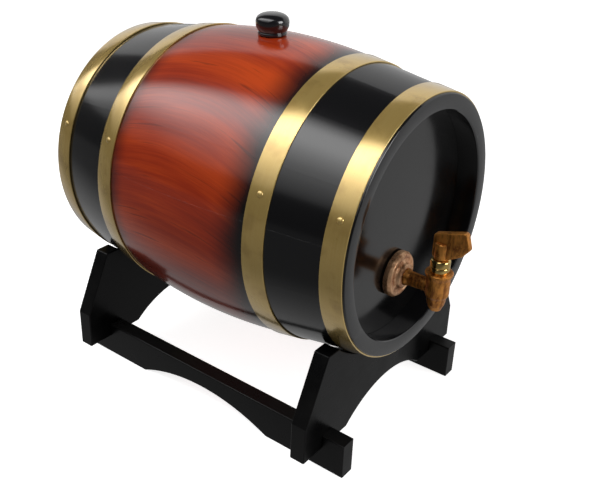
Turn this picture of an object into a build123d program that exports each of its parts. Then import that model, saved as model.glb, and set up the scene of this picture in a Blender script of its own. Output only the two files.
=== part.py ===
from build123d import *
from math import cos, degrees, radians, sin, sqrt, tan
import os

# Oak table barrel of the five litre class, lying on a two-cradle stand, with a bung on top
# and a quarter-turn tap in the front head. Millimetres.
#
# Row frame: +Z up, the barrel's axis along Y, the tap at -Y. The origin is the middle of the
# whole object's footprint box, on the floor. The pieces are drawn in the barrel's own frame,
# whose origin is the barrel's centre, and save() moves them to the row frame.

# ---- barrel shell: staves pressed together by hoops ----
bilge_radius = 105.0            # outside radius at the middle, the fattest place
barrel_half_length = 128.5
bow_half_length = 58.0          # the middle of a stave is a round bow, its ends are straight
cone_angle = 8.7                # taper of the straight ends, degrees
stave_thickness = 11.0
stave_count = 16                # the bung stave is the first
rim_outer_chamfer = 0.8
rim_inner_chamfer = 1.6

# ---- heads: three dowelled boards each, with a tongue in the staves' groove ----
head_recess = 18.0              # from the staves' ends to the head's outer face
head_thickness = 12.0
head_wall_gap = 0.2
head_tongue_width = 5.0
head_tongue_depth = 3.5         # how deep the groove goes into the stave
dowel_radius = 2.5
dowel_length = 20.0
dowel_spread = 40.0             # each joint has one dowel this far above and below the middle

# ---- brass hoops, riveted where they lap and nailed to the staves ----
hoop_width = 15.0
hoop_thickness = 1.0
inner_hoop_place = 66.6         # centre of an inner hoop from the barrel's middle
outer_hoop_end_gap = 1.3        # from an outer hoop's edge to the staves' ends
lap_length = 24.0
lap_stave = 11                  # the lap lies over this stave, counted from the bung stave
rivet_radius = 1.4
rivet_head_radius = 2.6
rivet_head_height = 1.0
rivet_spacing = 12.0
nail_staves = (3, 13)           # staves that take one nail through each hoop
nail_radius = 0.8
nail_length = 7.0
nail_head_radius = 2.1
nail_head_height = 0.9

# ---- bung: a knob on a tapered plug, with a soft ring ----
bung_hole_radius = 9.0
bung_gap = 0.3                  # room between the plug's ring and the hole, and under the rim
bung_plug_depth = 13.5          # below the top of the barrel
bung_plug_taper = 1.0
bung_ring_thickness = 0.7
bung_ring_height = 5.0
bung_ring_drop = 3.0            # the ring's top below the top of the barrel
bung_lead = 4.0                 # length of the plug's tapered end
bung_rim_overlap = 1.0          # the rim rests on the wood this far round the hole
bung_rim_height = 1.9
bung_rim_chamfer = 0.6
bung_groove_depth = 0.7
bung_groove_height = 0.8
bung_knob_overhang = 1.5        # how far the knob stands out past the rim
bung_knob_height = 11.8
bung_knob_widest = 0.48         # the knob's fattest place, as a share of its height
bung_knob_shoulder = 0.32       # the shoulder below the knob's top, as a share of the dome

# ---- tap ----
tap_drop = 39.5                 # the shank's axis below the barrel's axis
shank_radius = 5.5
shank_bore_radius = 2.25
shank_tail = 8.0                # how far the shank stands out of the head inside the barrel
shank_tail_step = 0.9           # how much thinner the tail is than the shank
sleeve_wall = 1.5               # soft sleeve between the shank and the head
gasket_thickness = 1.0
gasket_radius = 13.0
rosette_radius = 16.5
rosette_rim_thickness = 3.6
rosette_thickness = 6.0
rosette_hub_radius = 8.6
rosette_hub_height = 3.0
neck_radius = 5.0
tap_reach = 34.0                # from the head's face to the plug's axis
body_wall = 3.65                # of the valve housing, round the plug's bore
body_rise = 9.5                 # from the shank's axis up to the flare under the cup
cup_flare = 1.3                 # how far the cup stands out past the housing
cup_height = 3.5
body_drop = 5.5                 # from the shank's axis down to the spout
spout_length = 10.5
spout_shoulder_step = 1.3
spout_tip_radius = 4.0
outlet_radius = 2.25
plug_radius = 4.5
plug_fit = 0.05                 # radial running clearance of the plug and its stem
plug_end_gap = 0.3
plug_below = 6.5                # plug below the shank's axis
plug_port_radius = 2.0
o_ring_section = 0.8
o_ring_width = 1.6
o_ring_fit = 0.03
boss_wall = 1.1                 # threaded boss on the body, under the gland collar
boss_height = 4.0
collar_wall = 1.15
collar_height = 10.0
collar_round_off = 1.3
stem_step = 1.0                 # how much thinner the stem is than the plug
stem_square_share = 0.97        # of the largest square that fits in the round stem
stem_rise = 8.2                 # square end of the stem above the collar
handle_gap = 0.3                # between the collar and the handle
handle_hub_wall = 1.5           # of the handle's hub, measured from the round stem
handle_hub_height = 11.5
handle_thickness = 5.0
handle_back = 6.0               # behind the stem's axis
handle_reach = 20.0             # in front of the stem's axis
handle_back_height = 17.0
handle_tip_low = 6.5            # the wing's front corners, above the handle's foot
handle_tip_waist = 12.5
handle_tip_top = 24.0
handle_corner_radius = 2.2
pin_radius = 0.8
pin_rise = 5.0                  # the cross pin above the handle's foot

# ---- stand: two cradles on two runners, joined by cross-halvings and screws ----
cradle_thickness = 12.0
cradle_hoop_gap = 0.6           # from a cradle's outer face to the outer hoop's edge
saddle_gap = 0.3
saddle_height = 65.18           # the saddle's lowest place above the floor
horn_rise = 25.8                # the horns' tops above the saddle's lowest place
horn_width = 11.2               # along a horn's flat top
hip_spread = 22.6               # the hips stand out this far past the horns
hip_height = 45.2               # the hips above the floor
foot_spread = 0.6               # the feet stand out this far past the hips
foot_height = 16.7              # the legs' ends above the floor
cradle_web = 31.5               # from the saddle's lowest place down to the arch's crown
cradle_arch_radius = 80.0
horn_corner_radius = 1.5
rail_inset = 26.3               # from a cradle's foot corner to the rail's middle
rail_width = 12.3
rail_height = 27.3
rail_overhang = 0.7             # the rails stand out this far past the staves' ends
rail_arch_half_span = 62.0
rail_arch_rise = 13.8
screw_radius = 1.9
screw_head_radius = 3.8
screw_head_height = 2.6
screw_sink = 1.0                # the head lies this far up in the rail
screw_length = 34.0
screw_point_length = 5.0
screw_slot_width = 0.9
screw_slot_depth = 1.1

# ---- worked-out sizes of the shell ----
stave_pitch = 360 / stave_count
bow_radius = bow_half_length / sin(radians(cone_angle))
bow_edge_radius = bilge_radius - bow_radius * (1 - cos(radians(cone_angle)))
wall_across = stave_thickness / cos(radians(cone_angle))


def outer_radius(y):
    """Outside radius of the straight part of the staves, |y| past the bow."""
    return bow_edge_radius - (abs(y) - bow_half_length) * tan(radians(cone_angle))


def inner_radius(y):
    """Inside radius of the straight part of the staves."""
    return outer_radius(y) - wall_across


head_face = barrel_half_length - head_recess
head_middle = head_face - head_thickness / 2
head_radius = inner_radius(head_face) - head_wall_gap
groove_radius = inner_radius(head_middle) + head_tongue_depth
head_board_half = head_radius / 3
outer_hoop_place = barrel_half_length - outer_hoop_end_gap - hoop_width / 2
cradle_outer_face = outer_hoop_place - hoop_width / 2 - cradle_hoop_gap
cradle_inner_face = cradle_outer_face - cradle_thickness
cradle_middle = (cradle_outer_face + cradle_inner_face) / 2

# ---- worked-out sizes of the bung ----
bung_rim_radius = bung_hole_radius + bung_rim_overlap
bung_knob_radius = bung_rim_radius + bung_knob_overhang
bung_plug_radius = bung_hole_radius - bung_gap - bung_ring_thickness

# ---- worked-out sizes of the stand ----
saddle_radius = outer_radius(cradle_inner_face) + saddle_gap
axis_height = saddle_height + saddle_radius
horn_drop = saddle_radius - horn_rise
horn_outer_x = sqrt(saddle_radius**2 - horn_drop**2) + horn_width
hip_x = horn_outer_x + hip_spread
hip_drop = axis_height - hip_height
foot_x = hip_x + foot_spread
foot_drop = axis_height - foot_height
cradle_arch_drop = saddle_radius + cradle_web
rail_centre_x = foot_x - rail_inset
rail_half_length = barrel_half_length + rail_overhang
rail_top_drop = axis_height - rail_height
halving_drop = (rail_top_drop + foot_drop) / 2

# ---- worked-out sizes and places of the tap, in the barrel's frame ----
bore_radius = plug_radius + plug_fit
body_radius = bore_radius + body_wall
cup_radius = body_radius + cup_flare
spout_shoulder_radius = body_radius - spout_shoulder_step
collar_radius = bore_radius + boss_wall + collar_wall
stem_radius = plug_radius - stem_step
stem_square = stem_square_share * sqrt(2) * stem_radius
handle_hub_radius = stem_radius + handle_hub_wall
shank_tail_radius = shank_radius - shank_tail_step
rosette_back = -head_face - gasket_thickness
rosette_front = rosette_back - rosette_thickness - rosette_hub_height
tap_axis_y = -head_face - tap_reach
shank_z = -tap_drop
cup_top = shank_z + body_rise + cup_height
boss_top = cup_top + boss_height
collar_top = cup_top + collar_height
handle_foot = collar_top + handle_gap
plug_bottom = shank_z - plug_below
spout_top = shank_z - body_drop
spout_tip = spout_top - spout_length


def turned_y(points):
    """A solid of revolution about Y, from its (radius, y) outline."""
    outline = Polyline([(r, y) for r, y in points], close=True)
    return revolve(make_face(outline), Axis.Y, 360)


def turned_z(points):
    """A solid of revolution about Z, from its (radius, z) outline."""
    outline = Polyline([(r, 0, z) for r, z in points], close=True)
    return revolve(make_face(outline), Axis.Z, 360)


def rod_y(radius, y_from, y_to):
    """A round bar along Y."""
    return Pos(0, (y_from + y_to) / 2, 0) * Rot(90, 0, 0) * Cylinder(radius, abs(y_to - y_from))


def rod_x(radius, x_from, x_to):
    """A round bar along X."""
    return Pos((x_from + x_to) / 2, 0, 0) * Rot(0, 90, 0) * Cylinder(radius, abs(x_to - x_from))


def rod_z(radius, z_from, z_to):
    """A round bar along Z."""
    return Pos(0, 0, (z_from + z_to) / 2) * Cylinder(radius, abs(z_to - z_from))


def to_stave(number):
    """Turns a thing drawn over the bung stave to another stave."""
    return Rot(0, -number * stave_pitch, 0)


def on_slope(y, lift=0.0):
    """A place on the outside of the bung stave's straight part, with Z square to the wood."""
    tilt = -cone_angle if y > 0 else cone_angle
    return Pos(0, y, outer_radius(y)) * Rot(tilt, 0, 0) * Pos(0, 0, lift)


def stave_section():
    """Half a stave's outline is mirrored: bow, straight end, chamfered rim, head groove."""
    inner_bow_edge = (bow_radius - stave_thickness) * sin(radians(cone_angle))
    groove_near = head_middle - head_tongue_width / 2
    groove_far = head_middle + head_tongue_width / 2
    rim = barrel_half_length
    half = [
        (bow_edge_radius, bow_half_length),
        (outer_radius(rim - rim_outer_chamfer), rim - rim_outer_chamfer),
        (outer_radius(rim) - rim_outer_chamfer, rim),
        (inner_radius(rim) + rim_inner_chamfer, rim),
        (inner_radius(rim - rim_inner_chamfer), rim - rim_inner_chamfer),
        (inner_radius(groove_far), groove_far),
        (groove_radius, groove_far),
        (groove_radius, groove_near),
        (inner_radius(groove_near), groove_near),
        (inner_radius(inner_bow_edge), inner_bow_edge),
    ]
    mirrored = [(r, -y) for r, y in half]
    outside = ThreePointArc(mirrored[0], (bilge_radius, 0), half[0])
    inside = ThreePointArc(half[-1], (bilge_radius - stave_thickness, 0), mirrored[-1])
    rear_end = Polyline(half)
    front_end = Polyline(mirrored[::-1])
    edges = outside.edges() + rear_end.edges() + inside.edges() + front_end.edges()
    return Face(Wire(edges))


def make_stave():
    """One stave, lying where the bung stave lies, at the top."""
    wedge = revolve(stave_section(), Axis.Y, stave_pitch)
    return Rot(0, -90 - stave_pitch / 2, 0) * wedge


def make_hoop(place):
    """A cone-shaped strip; its riveted lap is a second layer over one stave."""
    near, far = place - hoop_width / 2, place + hoop_width / 2
    layer = hoop_thickness / cos(radians(cone_angle))
    strip = [
        (outer_radius(near), near),
        (outer_radius(far), far),
        (outer_radius(far) + layer, far),
        (outer_radius(near) + layer, near),
    ]
    lap_arc = degrees(lap_length / outer_radius(place))
    lap_face = make_face(Polyline([(r + layer, y) for r, y in strip], close=True))
    lap = Rot(0, -90 - lap_arc / 2, 0) * revolve(lap_face, Axis.Y, lap_arc)
    return turned_y(strip) + to_stave(lap_stave) * lap


def make_nail():
    """A round-headed brass nail, its head's underside at z = 0."""
    head = turned_z([
        (0, 0),
        (nail_head_radius, 0),
        (nail_head_radius * 0.92, nail_head_height * 0.5),
        (nail_head_radius * 0.6, nail_head_height * 0.9),
        (0, nail_head_height),
    ])
    shank = rod_z(nail_radius, -nail_length, 0)
    return head + shank


def make_rivet():
    """A domed rivet through both layers of a hoop's lap, its head's underside at z = 0."""
    dome = turned_z([
        (0, 0),
        (rivet_head_radius, 0),
        (rivet_head_radius * 0.9, rivet_head_height * 0.6),
        (rivet_head_radius * 0.5, rivet_head_height * 0.95),
        (0, rivet_head_height),
    ])
    return dome + rod_z(rivet_radius, -2 * hoop_thickness, 0)


def make_head():
    """A whole head, front one: a disc with a tongue all round."""
    disc = rod_y(head_radius, -head_face, -head_face + head_thickness)
    tongue = rod_y(
        groove_radius, -head_middle - head_tongue_width / 2, -head_middle + head_tongue_width / 2
    )
    return disc + tongue


def make_dowels():
    """The front head's dowels, two across each joint between its boards."""
    places = [
        Pos(side * head_board_half, -head_middle, height * dowel_spread)
        for side in (-1, 1)
        for height in (-1, 1)
    ]
    return [place * rod_x(dowel_radius, -dowel_length / 2, dowel_length / 2) for place in places]


def cut_boards(head):
    """Cuts a head into its left, centre and right boards."""
    span = 2 * groove_radius + 2
    strip = Box(2 * head_board_half, span + 2 * barrel_half_length, span)
    side = Box(span, span + 2 * barrel_half_length, span)
    shift = head_board_half + span / 2
    return {
        "left": head & (Pos(-shift, 0, 0) * side),
        "centre": head & strip,
        "right": head & (Pos(shift, 0, 0) * side),
    }


def make_bung():
    """The bung's hard core: tapered plug, rim, groove and knob, turned in one piece."""
    rim_bottom = bilge_radius + bung_gap
    rim_top = rim_bottom + bung_rim_height
    knob_bottom = rim_top + bung_groove_height
    knob_top = knob_bottom + bung_knob_height
    plug_end = bilge_radius - bung_plug_depth
    waist = bung_rim_radius - bung_groove_depth
    widest = knob_bottom + bung_knob_widest * bung_knob_height
    shoulder = knob_top - bung_knob_shoulder * (knob_top - widest)
    outline = Polyline([
        (0, 0, knob_top),
        (0, 0, plug_end),
        (bung_plug_radius - bung_plug_taper, 0, plug_end),
        (bung_plug_radius, 0, plug_end + bung_lead),
        (bung_plug_radius, 0, rim_bottom),
        (bung_rim_radius - bung_rim_chamfer, 0, rim_bottom),
        (bung_rim_radius, 0, rim_bottom + bung_rim_chamfer),
        (bung_rim_radius, 0, rim_top),
        (waist, 0, rim_top),
        (waist, 0, knob_bottom),
        (bung_rim_radius, 0, knob_bottom),
    ])
    side = ThreePointArc(
        (bung_rim_radius, 0, knob_bottom),
        (bung_knob_radius - 0.15, 0, (knob_bottom + widest) / 2),
        (bung_knob_radius, 0, widest),
    )
    dome = Spline(
        [(bung_knob_radius, 0, widest), (0.72 * bung_knob_radius, 0, shoulder), (0, 0, knob_top)],
        tangents=[(0, 0, 1), (-1, 0, 0)],
    )
    return revolve(Face(Wire(outline.edges() + side.edges() + dome.edges())), Axis.Z, 360)


def make_bung_ring():
    """The soft ring round the bung's plug."""
    top = bilge_radius - bung_ring_drop
    outer = rod_z(bung_hole_radius - bung_gap, top - bung_ring_height, top)
    return outer - rod_z(bung_plug_radius, top - bung_ring_height, top)


def make_rosette():
    """The tap's round cover plate, with a raised hub."""
    face = rosette_back - rosette_thickness
    return Pos(0, 0, shank_z) * turned_y([
        (shank_radius, rosette_back),
        (rosette_radius, rosette_back),
        (rosette_radius, rosette_back - rosette_rim_thickness),
        (rosette_radius - 1.4, face + 0.5),
        (rosette_radius - 3.2, face),
        (rosette_hub_radius + 2.2, face + 0.4),
        (rosette_hub_radius + 0.8, face - 0.5),
        (rosette_hub_radius, rosette_front + 0.8),
        (rosette_hub_radius - 1.2, rosette_front),
        (shank_radius, rosette_front),
    ])


def make_tap_body():
    """Shank, neck, valve housing and spout, cast as one; bored for the plug and the wine."""
    inner_end = -head_face + head_thickness + shank_tail
    sleeve_end = -head_face + head_thickness
    shank = Pos(0, 0, shank_z) * turned_y([
        (0, inner_end),
        (shank_tail_radius, inner_end),
        (shank_radius, sleeve_end),
        (shank_radius, rosette_front),
        (neck_radius + 1.4, rosette_front),
        (neck_radius + 1.1, rosette_front - 1.2),
        (neck_radius, rosette_front - 3.5),
        (neck_radius, tap_axis_y),
        (0, tap_axis_y),
    ])
    housing = Pos(0, tap_axis_y, 0) * turned_z([
        (0, boss_top),
        (bore_radius + boss_wall, boss_top),
        (bore_radius + boss_wall, cup_top),
        (cup_radius - 0.6, cup_top),
        (cup_radius, cup_top - 0.7),
        (cup_radius, cup_top - 0.45 * cup_height),
        (body_radius, cup_top - cup_height - 1.2),
        (body_radius, spout_top + 1.6),
        (spout_shoulder_radius, spout_top - 0.6),
        (spout_shoulder_radius - 0.9, spout_top - 0.55 * spout_length),
        (spout_tip_radius + 0.5, spout_tip + 1.2),
        (spout_tip_radius, spout_tip),
        (0, spout_tip),
    ])
    plug_bore = Pos(0, tap_axis_y, 0) * rod_z(bore_radius, plug_bottom - plug_end_gap, boss_top)
    outlet = Pos(0, tap_axis_y, 0) * rod_z(outlet_radius, spout_tip, plug_bottom)
    inlet = Pos(0, 0, shank_z) * rod_y(shank_bore_radius, tap_axis_y, inner_end)
    return shank + housing - plug_bore - outlet - inlet


def o_ring_places():
    """Heights of the plug's two O-rings, one each side of the port."""
    return (shank_z + plug_port_radius + 3.4, shank_z - plug_port_radius - 2.4)


def make_o_ring(height):
    """One O-ring, drawn flat-sided where it lies in its groove."""
    outer = bore_radius - o_ring_fit
    low, high = height - o_ring_width / 2, height + o_ring_width / 2
    core = plug_radius - o_ring_section
    return Pos(0, tap_axis_y, 0) * (rod_z(outer, low, high) - rod_z(core, low, high))


def make_plug():
    """The valve's turning plug with its stem; closed, its port looks along +X."""
    body = rod_z(plug_radius, plug_bottom, boss_top - plug_end_gap)
    stem = rod_z(stem_radius, boss_top - plug_end_gap, handle_foot)
    square = Pos(0, 0, handle_foot + stem_rise / 2) * Box(stem_square, stem_square, stem_rise)
    down = rod_z(plug_port_radius, plug_bottom, shank_z)
    side = Pos(0, 0, shank_z) * rod_x(plug_port_radius, 0, plug_radius + 1)
    plug = Pos(0, tap_axis_y, 0) * (body + stem + square - down - side)
    for height in o_ring_places():
        low, high = height - o_ring_width / 2, height + o_ring_width / 2
        groove = rod_z(plug_radius + 1, low, high) - rod_z(plug_radius - o_ring_section, low, high)
        plug -= Pos(0, tap_axis_y, 0) * groove
    return plug


def make_collar():
    """The gland collar, screwed on the housing's boss, that keeps the plug down."""
    boss = bore_radius + boss_wall
    hole = stem_radius + plug_fit
    round_off = collar_round_off
    return Pos(0, tap_axis_y, 0) * turned_z([
        (boss, cup_top),
        (collar_radius - 0.5, cup_top),
        (collar_radius, cup_top + 0.5),
        (collar_radius, collar_top - round_off),
        (collar_radius - 0.4 * round_off, collar_top - 0.4 * round_off),
        (collar_radius - round_off, collar_top),
        (hole, collar_top),
        (hole, boss_top),
        (boss, boss_top),
    ])


def make_handle():
    """The handle: a round hub and a flat wing that reaches forward over the spout."""
    corners = [
        (-handle_back, 0),
        (handle_back, 1.2),
        (0.76 * handle_reach, handle_tip_low),
        (handle_reach, handle_tip_waist),
        (0.83 * handle_reach, handle_tip_top),
        (-handle_back, handle_back_height),
    ]
    wing_face = make_face(Polyline([(0, -out, up) for out, up in corners], close=True))
    wing = extrude(wing_face, amount=handle_thickness / 2, both=True)
    wing = fillet(wing.edges().filter_by(Axis.X), handle_corner_radius)
    hub = rod_z(handle_hub_radius, 0, handle_hub_height)
    socket = Pos(0, 0, stem_rise / 2) * Box(stem_square, stem_square, stem_rise)
    return Pos(0, tap_axis_y, handle_foot) * (wing + hub - socket)


def make_handle_pin():
    """The cross pin through the handle's hub and the stem's square."""
    reach = sqrt(handle_hub_radius**2 - pin_radius**2)
    return Pos(0, tap_axis_y, handle_foot + pin_rise) * rod_x(pin_radius, -reach, reach)


def make_rail():
    """One runner, lying along the barrel at x = 0, arched underneath, notched for the legs."""
    bar = Pos(0, 0, -axis_height + rail_height / 2) * Box(
        rail_width, 2 * rail_half_length, rail_height
    )
    arch_radius = (rail_arch_half_span**2 + rail_arch_rise**2) / (2 * rail_arch_rise)
    arch = Pos(0, 0, -axis_height + rail_arch_rise - arch_radius) * rod_x(
        arch_radius, -rail_width, rail_width
    )
    bar -= arch
    for side in (-1, 1):
        notch = Box(2 * rail_width, cradle_thickness, 2 * (halving_drop - rail_top_drop))
        bar -= Pos(0, side * cradle_middle, -rail_top_drop) * notch
    return bar


def make_cradle():
    """The rear cradle: a plate with a saddle, two horns, two legs and an arch between them."""
    half = [
        (0, -horn_drop),
        (horn_outer_x, -horn_drop),
        (hip_x, -hip_drop),
        (foot_x, -foot_drop),
        (0, -foot_drop),
    ]
    outline = half + [(-x, z) for x, z in half[-2:0:-1]]
    plate_face = make_face(Polyline([(x, 0, z) for x, z in outline], close=True))
    plate = Pos(0, cradle_middle, 0) * extrude(plate_face, amount=cradle_thickness / 2, both=True)
    near, far = cradle_inner_face - 1, cradle_outer_face + 1
    plate -= rod_y(saddle_radius, near, far)
    plate -= Pos(0, 0, -cradle_arch_drop - cradle_arch_radius) * rod_y(cradle_arch_radius, near, far)
    for side in (-1, 1):
        notch = Box(rail_width, 2 * cradle_thickness, 2 * (foot_drop - halving_drop))
        plate -= Pos(side * rail_centre_x, cradle_middle, -foot_drop) * notch
    corners = plate.edges().filter_by(Axis.Y).filter_by(
        lambda edge: abs(edge.center().Z + horn_drop) < 0.01
    )
    return fillet(corners, horn_corner_radius)


def make_screw():
    """A countersunk wood screw, pointing up, its slotted head's underside at z = 0."""
    screw = turned_z([
        (0, 0),
        (screw_head_radius, 0),
        (screw_head_radius, 0.4),
        (screw_radius, screw_head_height),
        (screw_radius, screw_length - screw_point_length),
        (0.3, screw_length),
        (0, screw_length),
    ])
    slot = Box(3 * screw_head_radius, screw_slot_width, 2 * screw_slot_depth)
    return screw - slot


def screw_places():
    """The four crossings of cradles and rails."""
    return [
        Pos(x_side * rail_centre_x, y_side * cradle_middle, -axis_height + screw_sink)
        for x_side in (-1, 1)
        for y_side in (-1, 1)
    ]


def screw_room():
    """A solid screw and the hole below its head, which clear the wood round it."""
    body = turned_z([
        (0, -2 * screw_sink),
        (screw_head_radius, -2 * screw_sink),
        (screw_head_radius, 0.4),
        (screw_radius, screw_head_height),
        (screw_radius, screw_length - screw_point_length),
        (0.3, screw_length),
        (0, screw_length),
    ])
    return [place * body for place in screw_places()]


os.makedirs("parts", exist_ok=True)

# The row frame lies midway between the handle's front tip and the rear end, on the floor.
front_reach = -make_handle().bounding_box().min.Y
rear_reach = max(barrel_half_length, rail_half_length)
to_row_frame = Pos(0, (front_reach - rear_reach) / 2, axis_height)


def save(shape, node):
    """Writes one node's STEP in the row frame."""
    export_step(to_row_frame * shape, f"parts/{node}.step")


# Hoops, with their nails and rivets
hoop_places = {
    "front_chime_hoop": -outer_hoop_place,
    "front_bilge_hoop": -inner_hoop_place,
    "rear_bilge_hoop": inner_hoop_place,
    "rear_chime_hoop": outer_hoop_place,
}
nails = {
    number: [to_stave(number) * on_slope(place, hoop_thickness) * make_nail()
             for place in hoop_places.values()]
    for number in nail_staves
}
half_spacing_angle = degrees(rivet_spacing / 2 / bilge_radius)
for node, place in hoop_places.items():
    hoop = make_hoop(place)
    rivets = [
        to_stave(lap_stave) * Rot(0, side * half_spacing_angle, 0)
        * on_slope(place, 2 * hoop_thickness) * make_rivet()
        for side in (-1, 1)
    ]
    for fastener in rivets + nails[nail_staves[0]] + nails[nail_staves[1]]:
        hoop -= fastener
    save(hoop, node)
    hoop_places[node] = (place, rivets)
save(Compound(children=[rivet for _, rivets in hoop_places.values() for rivet in rivets]),
     "hoop_rivets")
save(Compound(children=[nail for group in nails.values() for nail in group]), "hoop_nails")

# Staves, counted round from the bung stave
for number in range(stave_count):
    stave = to_stave(number) * make_stave()
    if number == 0:
        save(stave - rod_z(bung_hole_radius, 0, bilge_radius + 5), "bung_stave")
        continue
    for nail in nails.get(number, []):
        stave -= nail
    save(stave, f"stave_{number + 1:02d}")

# Heads: the front one is bored for the tap's sleeve
dowels = make_dowels()
head = make_head()
for dowel in dowels:
    head -= dowel
sleeve_radius = shank_radius + sleeve_wall
tap_hole = Pos(0, 0, shank_z) * rod_y(sleeve_radius, -head_face - 1, -head_face + head_thickness + 1)
for name, board in cut_boards(head - tap_hole).items():
    save(board, f"front_head_{name}")
for name, board in cut_boards(Rot(0, 0, 180) * head).items():
    save(board, f"rear_head_{name}")
save(Compound(children=dowels), "front_head_dowels")
save(Compound(children=[Rot(0, 0, 180) * dowel for dowel in make_dowels()]), "rear_head_dowels")

# Bung
save(make_bung(), "bung")
save(make_bung_ring(), "bung_ring")

# Tap
sleeve = rod_y(sleeve_radius, -head_face, -head_face + head_thickness)
save(Pos(0, 0, shank_z) * (sleeve - rod_y(shank_radius, -head_face - 1, 0)), "shank_sleeve")
gasket = rod_y(gasket_radius, rosette_back, -head_face)
save(Pos(0, 0, shank_z) * (gasket - rod_y(shank_radius, rosette_back - 1, 0)), "tap_gasket")
save(make_rosette(), "tap_rosette")
save(make_tap_body(), "tap_body")
pin = make_handle_pin()
save(make_plug() - pin, "valve_plug")
save(Compound(children=[make_o_ring(height) for height in o_ring_places()]), "plug_o_rings")
save(make_collar(), "gland_collar")
save(make_handle() - pin, "tap_handle")
save(pin, "handle_pin")

# Stand
rear_cradle = make_cradle()
front_cradle = Rot(0, 0, 180) * rear_cradle
rails = {"left_rail": Pos(-rail_centre_x, 0, 0) * make_rail(),
         "right_rail": Pos(rail_centre_x, 0, 0) * make_rail()}
stand = {"front_cradle": front_cradle, "rear_cradle": rear_cradle} | rails
for node, piece in stand.items():
    for room in screw_room():
        piece -= room
    save(piece, node)
save(Compound(children=[place * make_screw() for place in screw_places()]), "stand_screws")
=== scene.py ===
from math import atan2, cos, pi, radians, sin, sqrt, tan

import bmesh
import bpy
from mathutils import Matrix, Vector


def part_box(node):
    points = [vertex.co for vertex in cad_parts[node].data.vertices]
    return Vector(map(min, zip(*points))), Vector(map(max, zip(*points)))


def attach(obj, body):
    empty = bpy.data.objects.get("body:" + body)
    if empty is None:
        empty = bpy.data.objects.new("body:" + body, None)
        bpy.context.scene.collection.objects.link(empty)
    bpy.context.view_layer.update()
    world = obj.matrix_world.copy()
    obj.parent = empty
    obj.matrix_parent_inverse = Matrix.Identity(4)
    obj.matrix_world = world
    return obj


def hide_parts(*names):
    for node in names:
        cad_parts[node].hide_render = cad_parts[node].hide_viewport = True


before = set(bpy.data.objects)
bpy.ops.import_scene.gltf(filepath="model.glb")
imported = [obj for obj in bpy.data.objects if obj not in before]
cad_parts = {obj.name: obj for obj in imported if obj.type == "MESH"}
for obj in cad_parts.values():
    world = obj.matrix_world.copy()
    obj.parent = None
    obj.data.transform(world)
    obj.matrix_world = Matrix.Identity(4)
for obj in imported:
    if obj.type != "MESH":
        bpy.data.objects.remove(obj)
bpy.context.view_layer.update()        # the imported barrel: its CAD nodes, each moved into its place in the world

# ---- Camera ----
# It stands in front of the tap's end and to the left of it, above the bung, and looks down on the
# barrel. Its place and its three angles come from the barrel's own circles and edges.
camera_place = Vector((-0.43593, -0.33326, 0.40386))
camera_heading = radians(-54.09)
camera_pitch = radians(28.13)
camera_roll = radians(2.16)
camera_backward = Vector((
    sin(camera_heading) * cos(camera_pitch),
    -cos(camera_heading) * cos(camera_pitch),
    sin(camera_pitch),
))
level_right = (-camera_backward).cross(Vector((0, 0, 1))).normalized()
level_up = level_right.cross(-camera_backward)
camera_right = level_right * cos(camera_roll) + level_up * sin(camera_roll)
camera_up = level_up * cos(camera_roll) - level_right * sin(camera_roll)
lens_data = bpy.data.cameras.new("camera")
lens_data.sensor_width = 36
lens_data.lens = 48.43
camera = bpy.data.objects.new("camera", lens_data)
turned = Matrix((camera_right, camera_up, camera_backward)).transposed().to_4x4()
camera.matrix_world = Matrix.Translation(camera_place) @ turned
bpy.context.scene.collection.objects.link(camera)
bpy.context.scene.camera = camera
bpy.context.scene.view_settings.view_transform = "Standard"

# ---- Staves ----
# Sixteen oak staves, bent over steam and planed round, with a groove near each end for the heads.
# The finish is a red glaze under clear lacquer, sprayed black from the bilge hoops to the ends.
bung_stave_low, bung_stave_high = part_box("bung_stave")
bottom_stave_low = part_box("stave_09")[0]
bilge_radius = (bung_stave_high.z - bottom_stave_low.z) / 2
barrel_half_length = (bung_stave_high.y - bung_stave_low.y) / 2
barrel_centre = Vector((
    0,
    (bung_stave_high.y + bung_stave_low.y) / 2,
    (bung_stave_high.z + bottom_stave_low.z) / 2,
))
stave_count = 16
stave_pitch = 2 * pi / stave_count
stave_steps = 16                  # facets across one stave
stave_thickness = 0.011
bow_half_length = 0.058           # the round middle of a stave; its ends are straight
bow_steps = 26
cone_angle = radians(8.7)
bow_radius = bow_half_length / sin(cone_angle)
bow_edge_radius = bilge_radius - bow_radius * (1 - cos(cone_angle))
head_face = 0.1105                # the heads' outer faces, from the barrel's middle
head_thickness = 0.012
groove_width = 0.005
groove_depth = 0.0035
rim_outer_round = 0.0009
rim_inner_round = 0.0016
seam_round = 0.00003
bung_hole_radius = 0.009
grain_crest = 0.013               # where the grain's long arcs turn, behind the middle
fresh_oak = (0.46, 0.29, 0.15, 1)
toasted_oak = (0.17, 0.085, 0.04, 1)
glaze_dark = (0.220, 0.017, 0.006, 1)
glaze_middle = (0.45, 0.038, 0.007, 1)
glaze_bright = (0.72, 0.082, 0.010, 1)
vein_red = (0.110, 0.011, 0.006, 1)
spray_black = (0.0035, 0.0035, 0.0045, 1)


def outer_radius(y):
    """Outside radius of the staves at y from the barrel's middle."""
    if abs(y) < bow_half_length:
        return bilge_radius - bow_radius + sqrt(bow_radius**2 - y**2)
    return bow_edge_radius - (abs(y) - bow_half_length) * tan(cone_angle)


def inner_radius(y):
    """Inside radius of the staves at y from the barrel's middle."""
    inner_bow = bow_radius - stave_thickness
    if abs(y) < inner_bow * sin(cone_angle):
        return bilge_radius - bow_radius + sqrt(inner_bow**2 - y**2)
    return outer_radius(y) - stave_thickness / cos(cone_angle)


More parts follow.
